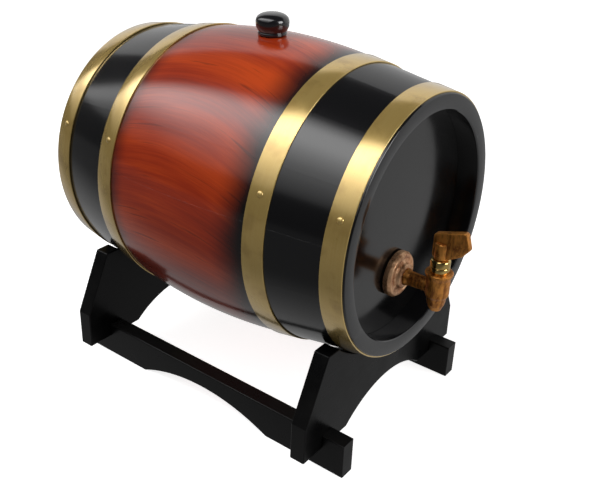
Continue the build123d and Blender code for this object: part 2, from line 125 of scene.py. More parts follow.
def rounded_face(bm, points, rounds, segments=3):
    """A flat face through the points, with each corner rounded to its own radius."""
    verts = [bm.verts.new(point) for point in points]
    face = bm.faces.new(verts)
    for index, (vert, radius) in enumerate(zip(verts, rounds)):
        if radius:
            before = (Vector(points[index]) - Vector(points[index - 1])).normalized()
            after = (Vector(points[(index + 1) % len(points)]) - Vector(points[index])).normalized()
            turn = before.angle(after)
            bmesh.ops.bevel(bm, geom=[vert], offset=radius * tan(turn / 2), affect="VERTICES",
                            segments=segments, profile=0.5, material=-1)
            bm.faces.ensure_lookup_table()
            face = bm.faces[0]
    return face


def make_material(name, **sockets):
    """A new material; the named values go straight on its Principled BSDF's own sockets."""
    material = bpy.data.materials.new(name)
    material.use_nodes = True
    shader = material.node_tree.nodes["Principled BSDF"]
    for socket, value in sockets.items():
        shader.inputs[socket.replace("_", " ")].default_value = value
    return material, shader


def connect(value, socket):
    """Feeds a node's output into another node's input."""
    socket.id_data.links.new(value, socket)


def add_node(material, kind, **settings):
    """A node in the material; a setting that names an input gives its value or its link."""
    node = material.node_tree.nodes.new(kind)
    for key, value in settings.items():
        if hasattr(node, key):
            setattr(node, key, value)
        elif isinstance(value, bpy.types.NodeSocket):
            connect(value, node.inputs[key.replace("_", " ")])
        else:
            node.inputs[key.replace("_", " ")].default_value = value
    return node


def fill(sockets, values):
    """Gives each socket its value or its link."""
    for socket, value in zip(sockets, values):
        if isinstance(value, bpy.types.NodeSocket):
            connect(value, socket)
        else:
            socket.default_value = value


def add_math(material, operation, first, second=0.0):
    """The result of a sum on two numbers or sockets."""
    node = add_node(material, "ShaderNodeMath", operation=operation)
    fill(node.inputs, (first, second))
    return node.outputs[0]


def add_sum(material, *terms):
    """The sum of (value, weight) terms."""
    total = None
    for value, weight in terms:
        node = add_node(material, "ShaderNodeMath", operation="MULTIPLY_ADD")
        connect(value, node.inputs[0])
        node.inputs[1].default_value = weight
        node.inputs[2].default_value = 0
        if total:
            connect(total, node.inputs[2])
        total = node.outputs[0]
    return total


def add_noise(material, vector, scale, detail=2.0, roughness=0.5, stretch=(1, 1, 1)):
    """Noise on a vector that is first stretched; its value from 0 to 1."""
    mapping = add_node(material, "ShaderNodeMapping", Vector=vector, Scale=stretch)
    noise = add_node(material, "ShaderNodeTexNoise", Vector=mapping.outputs["Vector"],
                     Scale=scale, Detail=detail, Roughness=roughness)
    return noise.outputs["Fac"]


def add_ramp(material, value, stops):
    """A colour for each value; stops are (place, colour) pairs."""
    ramp = add_node(material, "ShaderNodeValToRGB", Fac=value)
    while len(ramp.color_ramp.elements) < len(stops):
        ramp.color_ramp.elements.new(0.5)
    for element, (place, colour) in zip(ramp.color_ramp.elements, stops):
        element.position = place
        element.color = colour
    return ramp.outputs["Color"]


def set_range(material, shader, name, *span):
    """Drives one of the shader's inputs by a value's range."""
    connect(add_range(material, *span), shader.inputs[name])


def add_mix(material, share, first, second, blend_type="MIX"):
    """A mix of two colours."""
    node = add_node(material, "ShaderNodeMix", data_type="RGBA", blend_type=blend_type)
    fill((node.inputs[0], node.inputs[6], node.inputs[7]), (share, first, second))
    return node.outputs[2]


def add_range(material, value, low, high, to_low=0.0, to_high=1.0, steps="SMOOTHSTEP"):
    """A value moved from one range to another, and kept inside it."""
    node = add_node(material, "ShaderNodeMapRange", Value=value, interpolation_type=steps)
    for name, number in (("From Min", low), ("From Max", high), ("To Min", to_low), ("To Max", to_high)):
        node.inputs[name].default_value = number
    return node.outputs["Result"]


def set_bump(material, shader, height, strength, distance):
    """Lifts the surface by a height that comes from nodes; distance is in metres."""
    bump = add_node(material, "ShaderNodeBump", Height=height, Strength=strength, Distance=distance)
    connect(bump.outputs["Normal"], shader.inputs["Normal"])


def coordinate(material, kind):
    """Object coordinates, or the piece's own UV map along its surface."""
    if kind == "surface":
        return add_node(material, "ShaderNodeUVMap", uv_map="surface").outputs["UV"]
    return add_node(material, "ShaderNodeTexCoord").outputs["Object"]


def add_grain(material, around, along, curve):
    """Lengthwise oak grain: broad bands, streaks and fine fibres, on metres round and along."""
    from_crest = add_math(material, "SUBTRACT", along, grain_crest)
    bend = add_math(material, "MULTIPLY", add_math(material, "MULTIPLY", from_crest, from_crest), curve)
    straight = add_math(material, "SUBTRACT", around, bend)
    place = add_node(material, "ShaderNodeCombineXYZ", X=straight, Y=along).outputs["Vector"]
    waver = add_noise(material, place, 11, 2, 0.5, (1, 0.5, 1))
    shifted = add_sum(material, (straight, 1), (waver, 0.012))
    wavy = add_node(material, "ShaderNodeCombineXYZ", X=shifted, Y=along).outputs["Vector"]
    bands = add_noise(material, wavy, 30, 2, 0.5, (1, 0.20, 1))
    streaks = add_noise(material, wavy, 330, 3, 0.6, (1, 0.04, 1))
    fibres = add_noise(material, wavy, 1500, 2, 0.6, (1, 0.022, 1))
    return bands, streaks, fibres


def lacquered_oak():
    """Red glaze over oak under clear lacquer, black from the bilge hoops outwards."""
    material, shader = make_material("lacquered_oak", Roughness=0.5, Specular_IOR_Level=0.05,
                                     Coat_Weight=1.0, Coat_Roughness=0.145, Coat_IOR=1.75)
    split = add_node(material, "ShaderNodeSeparateXYZ", Vector=coordinate(material, "surface"))
    bands, streaks, fibres = add_grain(material, split.outputs["X"], split.outputs["Y"], 3.4)
    figure = add_sum(material, (fibres, 0.12), (streaks, 0.24), (bands, 0.64))
    glaze = add_ramp(material, figure, [
        (0.32, glaze_dark), (0.47, glaze_middle), (0.62, glaze_bright), (0.74, glaze_bright)])
    veins = add_range(material, streaks, 0.60, 0.70, 0.0, 0.55)
    glaze = add_mix(material, veins, glaze, vein_red)
    clouds = add_noise(material, coordinate(material, "surface"), 22, 2, 0.5)
    along = add_sum(material, (split.outputs["Y"], 1), (clouds, 0.012))
    front_fade = add_range(material, along, -0.054, -0.026)
    rear_fade = add_range(material, along, 0.072, 0.050)
    bare = add_math(material, "MULTIPLY", front_fade, rear_fade)
    colour = add_mix(material, bare, spray_black, glaze)
    connect(colour, shader.inputs["Base Color"])
    peel = add_noise(material, coordinate(material, "object"), 260, 2, 0.5)
    relief = add_sum(material, (peel, 1), (fibres, 0.35))
    set_bump(material, shader, relief, 0.16, 0.0001)
    return material


def bare_oak():
    """Plain oak inside the barrel and on the seams, toasted brown on the wine's side."""
    material, shader = make_material("toasted_oak", Roughness=0.7)
    split = add_node(material, "ShaderNodeSeparateXYZ", Vector=coordinate(material, "surface"))
    bands, streaks, fibres = add_grain(material, split.outputs["X"], split.outputs["Y"], 1.5)
    figure = add_sum(material, (bands, 0.4), (streaks, 0.6))
    colour = add_ramp(material, figure, [(0.3, toasted_oak), (0.7, fresh_oak)])
    connect(colour, shader.inputs["Base Color"])
    set_bump(material, shader, fibres, 0.3, 0.0001)
    return material


def add_surface_map(bm, radius):
    """A UV map in metres on a shape turned about the barrel's axis: round it and along it."""
    layer = bm.loops.layers.uv.new("surface")
    for face in bm.faces:
        for loop in face.loops:
            offset = loop.vert.co - barrel_centre
            angle = atan2(-offset.x, offset.z)
            loop[layer].uv = (angle * radius, offset.y)
    return layer


def finish_piece(name, bm, materials, body, node, sharp=radians(32)):
    """Makes the mesh's object, gives it its finish and its body, and hides the CAD node it stands for."""
    bmesh.ops.recalc_face_normals(bm, faces=bm.faces)
    mesh = bpy.data.meshes.new(name)
    bm.to_mesh(mesh)
    bm.free()
    return finish_mesh(name, mesh, materials, body, node, sharp)


def finish_mesh(name, mesh, materials, body, node, sharp=radians(32)):
    """The same for a mesh that is already made."""
    for material in materials:
        mesh.materials.append(material)
    mesh.shade_smooth()
    mesh.set_sharp_from_angle(angle=sharp)
    piece = bpy.data.objects.new(name, mesh)
    bpy.context.scene.collection.objects.link(piece)
    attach(piece, body)
    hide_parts(node)
    return piece


def stave_outline():
    """A stave's section along the barrel: (radius, y) points and how far each corner is rounded."""
    rim = barrel_half_length
    groove_near = head_face - head_thickness / 2 - groove_width / 2
    groove_far = groove_near + groove_width
    groove_bottom = inner_radius(head_face - head_thickness / 2) + groove_depth
    outside = [(-bow_half_length + 2 * bow_half_length * step / bow_steps) for step in range(bow_steps + 1)]
    inside = [y * inner_radius(0) / bilge_radius for y in reversed(outside)]
    points = [(outer_radius(y), y, 0) for y in outside]
    points += [
        (outer_radius(rim), rim, rim_outer_round),
        (inner_radius(rim), rim, rim_inner_round),
        (inner_radius(groove_far), groove_far, 0),
        (groove_bottom, groove_far, 0),
        (groove_bottom, groove_near, 0),
        (inner_radius(groove_near), groove_near, 0),
    ]
    points += [(inner_radius(y), y, 0) for y in inside]
    points += [
        (inner_radius(groove_near), -groove_near, 0),
        (groove_bottom, -groove_near, 0),
        (groove_bottom, -groove_far, 0),
        (inner_radius(groove_far), -groove_far, 0),
        (inner_radius(rim), -rim, rim_inner_round),
        (outer_radius(rim), -rim, rim_outer_round),
    ]
    return points


def make_stave(number):
    """One stave: its section swung about the barrel's axis, its seams eased, then put in place."""
    bm = bmesh.new()
    outline = stave_outline()
    face = rounded_face(bm, [barrel_centre + Vector((0, y, r)) for r, y, _ in outline],
                        [radius for _, _, radius in outline])
    start = Matrix.Rotation(-stave_pitch / 2, 3, "Y")
    bmesh.ops.rotate(bm, verts=bm.verts, cent=barrel_centre, matrix=start)
    bmesh.ops.spin(bm, geom=[face] + list(face.verts) + list(face.edges), cent=barrel_centre,
                   axis=(0, 1, 0), angle=stave_pitch, steps=stave_steps)
    bmesh.ops.recalc_face_normals(bm, faces=bm.faces)
    caps = sorted(bm.faces, key=lambda each: -len(each.verts))[:2]
    seams = {edge for cap in caps for edge in cap.edges}
    bmesh.ops.bevel(bm, geom=list(seams), offset=seam_round, affect="EDGES", segments=1,
                    profile=0.5, material=-1)
    layer = add_surface_map(bm, bilge_radius)
    ring = number if number < stave_count / 2 else number - stave_count
    for face in bm.faces:
        for loop in face.loops:
            loop[layer].uv.x += ring * stave_pitch * bilge_radius
        middle = face.calc_center_median() - barrel_centre
        depth = outer_radius(middle.y) - sqrt(middle.x**2 + middle.z**2)
        hidden = len(face.verts) > 20 or (depth > stave_thickness / 2 and abs(middle.y) < head_face)
        face.material_index = 1 if hidden else 0
    bmesh.ops.rotate(bm, verts=bm.verts, cent=barrel_centre,
                     matrix=Matrix.Rotation(-number * stave_pitch, 3, "Y"))
    return bm


def boolean(base, tool, operation):
    """The base object's mesh after it is cut by the tool or joined to it; both are used up."""
    modifier = base.modifiers.new("join", "BOOLEAN")
    modifier.operation = operation
    modifier.solver = "EXACT"
    modifier.object = tool
    bpy.context.view_layer.update()
    depsgraph = bpy.context.evaluated_depsgraph_get()
    mesh = bpy.data.meshes.new_from_object(base.evaluated_get(depsgraph), depsgraph=depsgraph)
    for used in (base, tool):
        bpy.data.objects.remove(used)
    return mesh


def loose_object(bm):
    """An object for the boolean tools, from a bmesh that is used up."""
    bmesh.ops.recalc_face_normals(bm, faces=bm.faces)
    mesh = bpy.data.meshes.new("loose")
    bm.to_mesh(mesh)
    bm.free()
    holder = bpy.data.objects.new("loose", mesh)
    bpy.context.scene.collection.objects.link(holder)
    return holder


def drill(radius, start, end, steps=64):
    """A plain rod between two points, for boring holes."""
    bm = bmesh.new()
    along = Vector(end) - Vector(start)
    turned = along.to_track_quat("Z", "Y").to_matrix().to_4x4()
    placed = Matrix.Translation((Vector(start) + Vector(end)) / 2) @ turned
    bmesh.ops.create_cone(bm, cap_ends=True, segments=steps, radius1=radius, radius2=radius,
                          depth=along.length, matrix=placed)
    return loose_object(bm)


oak_finish = lacquered_oak()
oak_inside = bare_oak()
for number in range(1, stave_count):
    node = f"stave_{number + 1:02d}"
    finish_piece(f"{node}_oak", make_stave(number), [oak_finish, oak_inside], "barrel",
                 node)
blank = loose_object(make_stave(0))
blank.data.materials.append(oak_finish)
blank.data.materials.append(oak_inside)
bung_bore = drill(bung_hole_radius, barrel_centre + Vector((0, 0, 0.8 * bilge_radius)),
                  barrel_centre + Vector((0, 0, 1.2 * bilge_radius)))
bung_bore.data.materials.append(oak_finish)
bung_bore.data.materials.append(oak_inside)
for polygon in bung_bore.data.polygons:
    polygon.material_index = 1
bored = boolean(blank, bung_bore, "DIFFERENCE")
bored.materials.clear()
finish_mesh("bung_stave_oak", bored, [oak_finish, oak_inside], "barrel",
            "bung_stave")

# ---- Heads ----
# Each head is three flat oak boards held together by beech dowels, pressed into the staves' groove.
# The outer faces are sprayed black with the chime and rubbed to a satin.
head_black = (0.0025, 0.0025, 0.0028, 1)
head_worn = (0.0050, 0.0049, 0.0048, 1)


def black_head():
    """Satin black over vertical oak grain."""
    material, shader = make_material("black_head", Specular_IOR_Level=1.0)
    place = coordinate(material, "object")
    grain = add_noise(material, place, 700, 3, 0.6, (1, 1, 0.03))
    clouds = add_noise(material, place, 30, 3, 0.6)
    colour = add_ramp(material, clouds, [(0.35, head_black), (0.7, head_worn)])
    connect(colour, shader.inputs["Base Color"])
    set_range(material, shader, "Roughness", clouds, 0.3, 0.7, 0.12, 0.19)
    set_bump(material, shader, grain, 0.10, 0.0001)
    return material


def plain_beech():
    """Turned beech, with short flecks along the dowel."""
    material, shader = make_material("plain_beech", Roughness=0.6)
    flecks = add_noise(material, coordinate(material, "object"), 900, 3, 0.6, (0.1, 1, 1))
    colour = add_ramp(material, flecks, [(0.35, (0.50, 0.31, 0.17, 1)), (0.65, (0.66, 0.46, 0.28, 1))])
    connect(colour, shader.inputs["Base Color"])
    return material


def set_node_material(node, material):
    """Gives a CAD node that stays in view its finish."""
    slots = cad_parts[node].material_slots
    if not slots:
        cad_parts[node].data.materials.append(material)
    for slot in slots:
        slot.material = material


head_finish = black_head()
beech = plain_beech()
for end in ("front", "rear"):
    for board in ("left", "centre", "right"):
        set_node_material(f"{end}_head_{board}", head_finish)
    set_node_material(f"{end}_head_dowels", beech)

# ---- Hoops ----
# Four strips of brass, rolled to a cone, brushed round their length and lapped on the far side.
# Two rivets close each lap, and two round-headed nails hold each hoop to the staves.
hoop_names = ("front_chime_hoop", "front_bilge_hoop", "rear_bilge_hoop", "rear_chime_hoop")
hoop_thickness = 0.001
hoop_edge_round = 0.00028
hoop_steps = stave_count * stave_steps
hoop_lift = 0.00002               # keeps the brass just off the lacquer
lap_length = 0.024
lap_stave = 11
nail_staves = (3, 13)
nail_head_radius = 0.0021
nail_head_height = 0.0009
nail_shank_radius = 0.0008
nail_length = 0.007
rivet_head_radius = 0.0026
rivet_head_height = 0.001
rivet_shank_radius = 0.0014
rivet_spacing = 0.012
brass_low = (0.82, 0.53, 0.13, 1)
brass_high = (0.98, 0.72, 0.26, 1)
tarnish = (0.46, 0.27, 0.07, 1)
brass_metal = 0.64                # the rest is its dull film, which shows no reflections


def brushed_brass(name, coordinates, scratch_stretch, roughness=(0.15, 0.27)):
    """Yellow brass with fine scratches along one direction, and a little tarnish."""
    material, shader = make_material(name, Metallic=brass_metal, Coat_Weight=0.9, Coat_Roughness=0.15,
                                     Coat_IOR=1.8)
    place = coordinate(material, coordinates)
    scratches = add_noise(material, place, 2600, 3, 0.65, scratch_stretch)
    patches = add_noise(material, place, 60, 3, 0.55)
    spots = add_noise(material, coordinate(material, "object"), 900, 2, 0.5)
    brass = add_mix(material, scratches, brass_low, brass_high)
    dulled = add_mix(material, add_range(material, patches, 0.48, 0.72, 0.0, 0.4), brass, tarnish)
    speckled = add_mix(material, add_range(material, spots, 0.68, 0.76, 0.0, 0.4), dulled, tarnish)
    connect(speckled, shader.inputs["Base Color"])
    rough = add_sum(material, (patches, 0.5), (scratches, 0.5))
    set_range(material, shader, "Roughness", rough, 0.35, 0.65, *roughness)
    set_bump(material, shader, scratches, 0.12, 0.00006)
    return material


def strip_section(bm, low_y, high_y, lift):
    """A strip's cross section above the barrel's axis, lying on the staves' cone."""
    corners = [(low_y, 0), (high_y, 0), (high_y, hoop_thickness), (low_y, hoop_thickness)]
    points = [
        barrel_centre + Vector((0, y, outer_radius(y) + (height + lift) / cos(cone_angle)))
        for y, height in corners
    ]
    return rounded_face(bm, points, [hoop_edge_round] * 4)


def make_hoop(low_y, high_y):
    """The hoop's full turn, and its lap: a second layer over one stave."""
    bm = bmesh.new()
    face = strip_section(bm, low_y, high_y, hoop_lift)
    loop_edges, loop_verts = list(face.edges), list(face.verts)
    bmesh.ops.delete(bm, geom=[face], context="FACES_ONLY")
    bmesh.ops.spin(bm, geom=loop_edges + loop_verts, cent=barrel_centre, axis=(0, 1, 0),
                   angle=2 * pi, steps=hoop_steps, use_merge=True)
    lap = bmesh.new()
    face = strip_section(lap, low_y, high_y, hoop_thickness + 2 * hoop_lift)
    arc = lap_length / outer_radius((low_y + high_y) / 2)
    bmesh.ops.rotate(lap, verts=lap.verts, cent=barrel_centre, matrix=Matrix.Rotation(-arc / 2, 3, "Y"))
    bmesh.ops.spin(lap, geom=[face] + list(face.verts) + list(face.edges), cent=barrel_centre,
                   axis=(0, 1, 0), angle=arc, steps=12)
    bmesh.ops.rotate(lap, verts=lap.verts, cent=barrel_centre,
                     matrix=Matrix.Rotation(-lap_stave * stave_pitch, 3, "Y"))
    lap_mesh = bpy.data.meshes.new("lap")
    lap.to_mesh(lap_mesh)
    lap.free()
    bm.from_mesh(lap_mesh)
    bpy.data.meshes.remove(lap_mesh)
    add_surface_map(bm, bilge_radius)
    return bm


def make_round_head(bm, radius, height, shank_radius, shank_length, place, steps=28):
    """A domed head on a shank, turned about Z and moved to its place."""
    dome = [
        (radius * cos(angle), height * sin(angle))
        for angle in (radians(step * 90 / 6) for step in range(7))
    ]
    outline = [(0, -shank_length), (shank_radius, -shank_length), (shank_radius, 0)] + dome
    outline[-1] = (0, height)
    part = bmesh.new()
    verts = [part.verts.new((r, 0, z)) for r, z in outline]
    edges = [part.edges.new(pair) for pair in zip(verts, verts[1:])]
    bmesh.ops.spin(part, geom=verts + edges, cent=(0, 0, 0), axis=(0, 0, 1), angle=2 * pi,
                   steps=steps, use_merge=True)
    bmesh.ops.remove_doubles(part, verts=part.verts, dist=1e-6)
    bmesh.ops.recalc_face_normals(part, faces=part.faces)
    bmesh.ops.transform(part, matrix=place, verts=part.verts)
    part_mesh = bpy.data.meshes.new("part")
    part.to_mesh(part_mesh)
    part.free()
    bm.from_mesh(part_mesh)
    bpy.data.meshes.remove(part_mesh)


def on_hoop(y, turn, layers):
    """A place on a hoop's outside, turn radians from the top towards -X, with Z square to it."""
    tilt = -cone_angle if y > 0 else cone_angle
    lift = outer_radius(y) + layers * hoop_thickness / cos(cone_angle)
    return (Matrix.Translation(barrel_centre) @ Matrix.Rotation(-turn, 4, "Y")
            @ Matrix.Translation((0, y, lift)) @ Matrix.Rotation(tilt, 4, "X"))


hoop_brass = brushed_brass("hoop_brass", "surface", (0.012, 1, 1))
fastener_brass = brushed_brass("fastener_brass", "object", (1, 1, 1), (0.22, 0.34))
nails = bmesh.new()
rivets = bmesh.new()
for name in hoop_names:
    low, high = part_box(name)
    low_y, high_y = low.y - barrel_centre.y, high.y - barrel_centre.y
    finish_piece(f"{name}_brass", make_hoop(low_y, high_y), [hoop_brass], "barrel", name)
    middle_y = (low_y + high_y) / 2
    for number in nail_staves:
        make_round_head(nails, nail_head_radius, nail_head_height, nail_shank_radius, nail_length,
                        on_hoop(middle_y, number * stave_pitch, 1))
    for side in (-1, 1):
        turn = lap_stave * stave_pitch + side * rivet_spacing / 2 / bilge_radius
        make_round_head(rivets, rivet_head_radius, rivet_head_height, rivet_shank_radius,
                        2 * hoop_thickness, on_hoop(middle_y, turn, 2))
finish_piece("hoop_nails_brass", nails, [fastener_brass], "barrel", "hoop_nails")
finish_piece("hoop_rivets_brass", rivets, [fastener_brass], "barrel", "hoop_rivets")

# ---- Bung ----
# The bung is turned in one piece and lacquered a deep gloss black: a tapered plug, a rim that rests
# on the stave, a fine groove and a round knob. A soft ring round the plug seals the hole.
bung_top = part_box("bung")[1].z - barrel_centre.z - bilge_radius
bung_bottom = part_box("bung")[0].z - barrel_centre.z - bilge_radius
plug_radius = 0.008
plug_taper = 0.001
plug_lead = 0.004
rim_radius = 0.010
rim_bottom = 0.0003
rim_top = rim_bottom + 0.0019
groove_radius = rim_radius - 0.0007
knob_bottom = rim_top + 0.0008
knob_radius = 0.0115
knob_widest = knob_bottom + 0.48 * (bung_top - knob_bottom)
knob_fullness = 2 / 2.45          # rounder than a ball's top, flatter than a cylinder's


def gloss_black(name):
    """Deep gloss black lacquer with faint dust and ripples."""
    material, shader = make_material(name, Roughness=0.22, Coat_Weight=1.0, Coat_Roughness=0.05)
    place = coordinate(material, "object")
    dust = add_noise(material, place, 1500, 2, 0.5)
    colour = add_ramp(material, dust, [(0.3, (0.005, 0.005, 0.007, 1)), (0.75, (0.013, 0.013, 0.016, 1))])
    connect(colour, shader.inputs["Base Color"])
    set_bump(material, shader, add_noise(material, place, 240, 2, 0.5), 0.12, 0.0001)
    return material


def turn_profile(outline, centre, axis, outward, steps):
    """Turns an open (radius, height, rounding) outline a full turn about an axis, with closed ends."""
    bm = bmesh.new()
    points = [Vector(centre) + Vector(outward) * r + Vector(axis) * h for r, h, _ in outline]
    face = rounded_face(bm, points, [radius for _, _, radius in outline])
    verts, edges = list(face.verts), list(face.edges)
    bmesh.ops.delete(bm, geom=[face], context="FACES_ONLY")
    centre, axis = Vector(centre), Vector(axis)
    on_axis = {v for v in verts if (v.co - centre).cross(axis).length < 1e-7}
    core = [edge for edge in edges if edge.verts[0] in on_axis and edge.verts[1] in on_axis]
    edges = [edge for edge in edges if edge not in core]
    if core:
        bmesh.ops.delete(bm, geom=core, context="EDGES")
    verts = [vert for vert in bm.verts]
    bmesh.ops.spin(bm, geom=verts + edges, cent=centre, axis=axis, angle=2 * pi, steps=steps,
                   use_merge=True)
    bmesh.ops.remove_doubles(bm, verts=bm.verts, dist=1e-6)
    bmesh.ops.recalc_face_normals(bm, faces=bm.faces)
    return bm


bung_outline = [
    (0, bung_bottom, 0),
    (plug_radius - plug_taper, bung_bottom, 0.0006),
    (plug_radius, bung_bottom + plug_lead, 0.001),
    (plug_radius, rim_bottom, 0),
    (rim_radius, rim_bottom, 0.0006),
    (rim_radius, rim_top, 0.0004),
    (groove_radius, rim_top, 0),
    (groove_radius, knob_bottom, 0),
    (rim_radius, knob_bottom, 0.0003),
    (knob_radius - 0.00015, (knob_bottom + knob_widest) / 2, 0),
]
for step in range(0, 13):
    angle = radians(step * 90 / 12)
    bung_outline.append((
        knob_radius * cos(angle) ** knob_fullness if step < 12 else 0,
        knob_widest + (bung_top - knob_widest) * sin(angle) ** knob_fullness,
        0,
    ))
top_of_barrel = barrel_centre + Vector((0, 0, bilge_radius))
bung_lacquer = gloss_black("bung_lacquer")
finish_piece("bung_knob", turn_profile(bung_outline, top_of_barrel, (0, 0, 1), (1, 0, 0), 96),
             [bung_lacquer], "bung", "bung")


def soft_silicone(name, colour_low, colour_high):
    """Moulded soft rubber or silicone: even, slightly dusty and matt."""
    material, shader = make_material(name, Roughness=0.55)
    bloom = add_noise(material, coordinate(material, "object"), 500, 3, 0.6)
    colour = add_ramp(material, bloom, [(0.3, colour_low), (0.7, colour_high)])
    connect(colour, shader.inputs["Base Color"])
    set_bump(material, shader, bloom, 0.1, 0.0001)
    return material


silicone = soft_silicone("clear_silicone", (0.42, 0.40, 0.36, 1), (0.55, 0.53, 0.49, 1))
ring_low, ring_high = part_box("bung_ring")
ring_outer = (ring_high.x - ring_low.x) / 2
ring_outline = [
    (plug_radius, ring_low.z, 0.0002),
    (ring_outer, ring_low.z, 0.0003),
    (ring_outer, ring_high.z, 0.0003),
    (plug_radius, ring_high.z, 0.0002),
]
finish_piece("bung_seal", turn_profile(ring_outline, (0, barrel_centre.y, 0), (0, 0, 1), (1, 0, 0), 72),
             [silicone], "bung", "bung_ring")
for node in ("shank_sleeve", "tap_gasket"):
    set_node_material(node, silicone)

# ---- Tap ----
# A cast tap with an antique bronze finish: a round cover plate on the head, a neck, and an upright
# housing with its spout. A turned plug inside it carries a gold gland collar and a wing handle.
collar_low, collar_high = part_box("gland_collar")
rosette_low, rosette_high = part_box("tap_rosette")
body_low, body_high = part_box("tap_body")
tap_axis = Vector((0, (collar_low.y + collar_high.y) / 2, 0))
shank_height = (rosette_low.z + rosette_high.z) / 2
shank_axis = Vector((0, 0, shank_height))
rosette_back = rosette_high.y
rosette_radius = (rosette_high.x - rosette_low.x) / 2
rosette_front = rosette_low.y
shank_radius = 0.0055
shank_end = body_high.y
sleeve_end = barrel_centre.y - head_face + head_thickness
neck_radius = 0.005
cup_top = collar_low.z
cup_radius = 0.0095
cup_height = 0.0035
housing_radius = 0.0082
plug_bore = 0.00455
boss_radius = plug_bore + 0.0011
boss_top = body_high.z
spout_top = shank_height - 0.0055
spout_bottom = body_low.z
spout_length = spout_top - spout_bottom
spout_shoulder = 0.0069
spout_tip = 0.004
outlet_radius = 0.00225
plug_bottom = shank_height - 0.0065 - 0.0003
bronze_low = (0.22, 0.065, 0.012, 1)
bronze_high = (0.84, 0.35, 0.07, 1)
rose_low = (0.46, 0.18, 0.075, 1)
rose_high = (0.98, 0.60, 0.34, 1)
bronze_metal = 0.6                # the rest is the brown film on the casting


def antique_bronze(name, dark, bright, relief, roughness=(0.26, 0.46)):
    """Cast bronze, brown in its hollows and rubbed bright on the high places."""
    material, shader = make_material(name, Metallic=bronze_metal)
    place = coordinate(material, "object")
    streaks = add_noise(material, place, 420, 4, 0.62, (1, 1, 0.28))
    mottle = add_noise(material, place, 170, 3, 0.55)
    worn = add_node(material, "ShaderNodeNewGeometry").outputs["Pointiness"]
    edges = add_range(material, worn, 0.48, 0.56, 0.0, 0.45)
    tone = add_sum(material, (mottle, 0.35), (streaks, 0.65))
    rubbed = add_math(material, "ADD", add_range(material, tone, 0.36, 0.66), edges)
    colour = add_mix(material, add_math(material, "MINIMUM", rubbed, 1.0), dark, bright)
    connect(colour, shader.inputs["Base Color"])
    set_range(material, shader, "Roughness", mottle, 0.3, 0.7, *roughness)
    set_bump(material, shader, tone, relief, 0.0003)
    return material


bronze = antique_bronze("antique_bronze", bronze_low, bronze_high, 0.35)
rose_bronze = antique_bronze("rose_bronze", rose_low, rose_high, 0.55)

rosette_thickness = 0.006
rosette_hub = 0.0086
rosette_outline = [
    (shank_radius, rosette_back, 0),
    (rosette_radius, rosette_back, 0.0004),
    (rosette_radius, rosette_back - 0.0036, 0.0006),
    (rosette_radius - 0.0014, rosette_back - rosette_thickness + 0.0004, 0.0007),
    (rosette_radius - 0.0030, rosette_back - rosette_thickness, 0.0006),
    (rosette_radius - 0.0042, rosette_back - rosette_thickness + 0.0009, 0.0006),
    (rosette_hub + 0.0024, rosette_back - rosette_thickness + 0.0008, 0.0006),
    (rosette_hub + 0.0008, rosette_back - rosette_thickness - 0.0004, 0.0005),
    (rosette_hub, rosette_front + 0.0008, 0.0006),
    (rosette_hub - 0.0012, rosette_front, 0.0004),
    (shank_radius, rosette_front, 0),
]
finish_piece("tap_cover_plate", turn_profile(rosette_outline, shank_axis, (0, 1, 0), (1, 0, 0), 96),
             [rose_bronze], "barrel", "tap_rosette")

neck_outline = [
    (0, shank_end, 0),
    (0.0046, shank_end, 0.0006),
    (shank_radius, sleeve_end, 0),
    (shank_radius, rosette_front, 0),
    (neck_radius + 0.0014, rosette_front, 0.0004),
    (neck_radius + 0.0011, rosette_front - 0.0012, 0.0006),
    (neck_radius, rosette_front - 0.0035, 0.001),
    (neck_radius, tap_axis.y, 0),
    (0, tap_axis.y, 0),
]
housing_outline = [
    (0, boss_top, 0),
    (boss_radius, boss_top, 0.0003),
    (boss_radius, cup_top, 0),
    (cup_radius, cup_top, 0.0006),
    (cup_radius, cup_top - 0.45 * cup_height, 0.0008),
    (housing_radius, cup_top - cup_height - 0.0012, 0.0012),
    (housing_radius, spout_top + 0.0016, 0.0012),
    (spout_shoulder, spout_top - 0.0006, 0.001),
    (spout_shoulder - 0.0009, spout_top - 0.55 * spout_length, 0.001),
    (spout_tip + 0.0005, spout_bottom + 0.0012, 0.0006),
    (spout_tip, spout_bottom, 0.0003),
    (0, spout_bottom, 0),
]
neck = loose_object(turn_profile(neck_outline, shank_axis, (0, 1, 0), (1, 0, 0), 64))
housing = loose_object(turn_profile(housing_outline, tap_axis, (0, 0, 1), (1, 0, 0), 72))
tap_mesh = boolean(housing, neck, "UNION")
upright = Vector((0, 0, 1))
past = 0.001                      # how far a bore is cut past the face it opens
bores = [
    (plug_bore, tap_axis + plug_bottom * upright, tap_axis + (boss_top + past) * upright),
    (outlet_radius, tap_axis + (spout_bottom - past) * upright,
     tap_axis + (plug_bottom + past) * upright),
    (outlet_radius, tap_axis + shank_axis, Vector((0, shank_end + past, shank_height))),
]
for radius, start, end in bores:
    casting = bpy.data.objects.new("casting", tap_mesh)
    bpy.context.scene.collection.objects.link(casting)
    tap_mesh = boolean(casting, drill(radius, start, end), "DIFFERENCE")
finish_mesh("tap_casting", tap_mesh, [bronze], "barrel", "tap_body", radians(28))

gold_low = (0.58, 0.38, 0.10, 1)
gold_high = (0.86, 0.64, 0.26, 1)


def polished_gold():
    """Bright gold-coloured plate with fine turning marks."""
    material, shader = make_material("polished_gold", Metallic=1.0)
    place = coordinate(material, "object")
    marks = add_noise(material, place, 2500, 2, 0.6, (0.1, 0.1, 1))
    cloud = add_noise(material, place, 200, 2, 0.5)
    connect(add_mix(material, cloud, gold_low, gold_high), shader.inputs["Base Color"])
    set_range(material, shader, "Roughness", cloud, 0.3, 0.7, 0.10, 0.2)
    set_bump(material, shader, marks, 0.05, 0.0001)
    return material


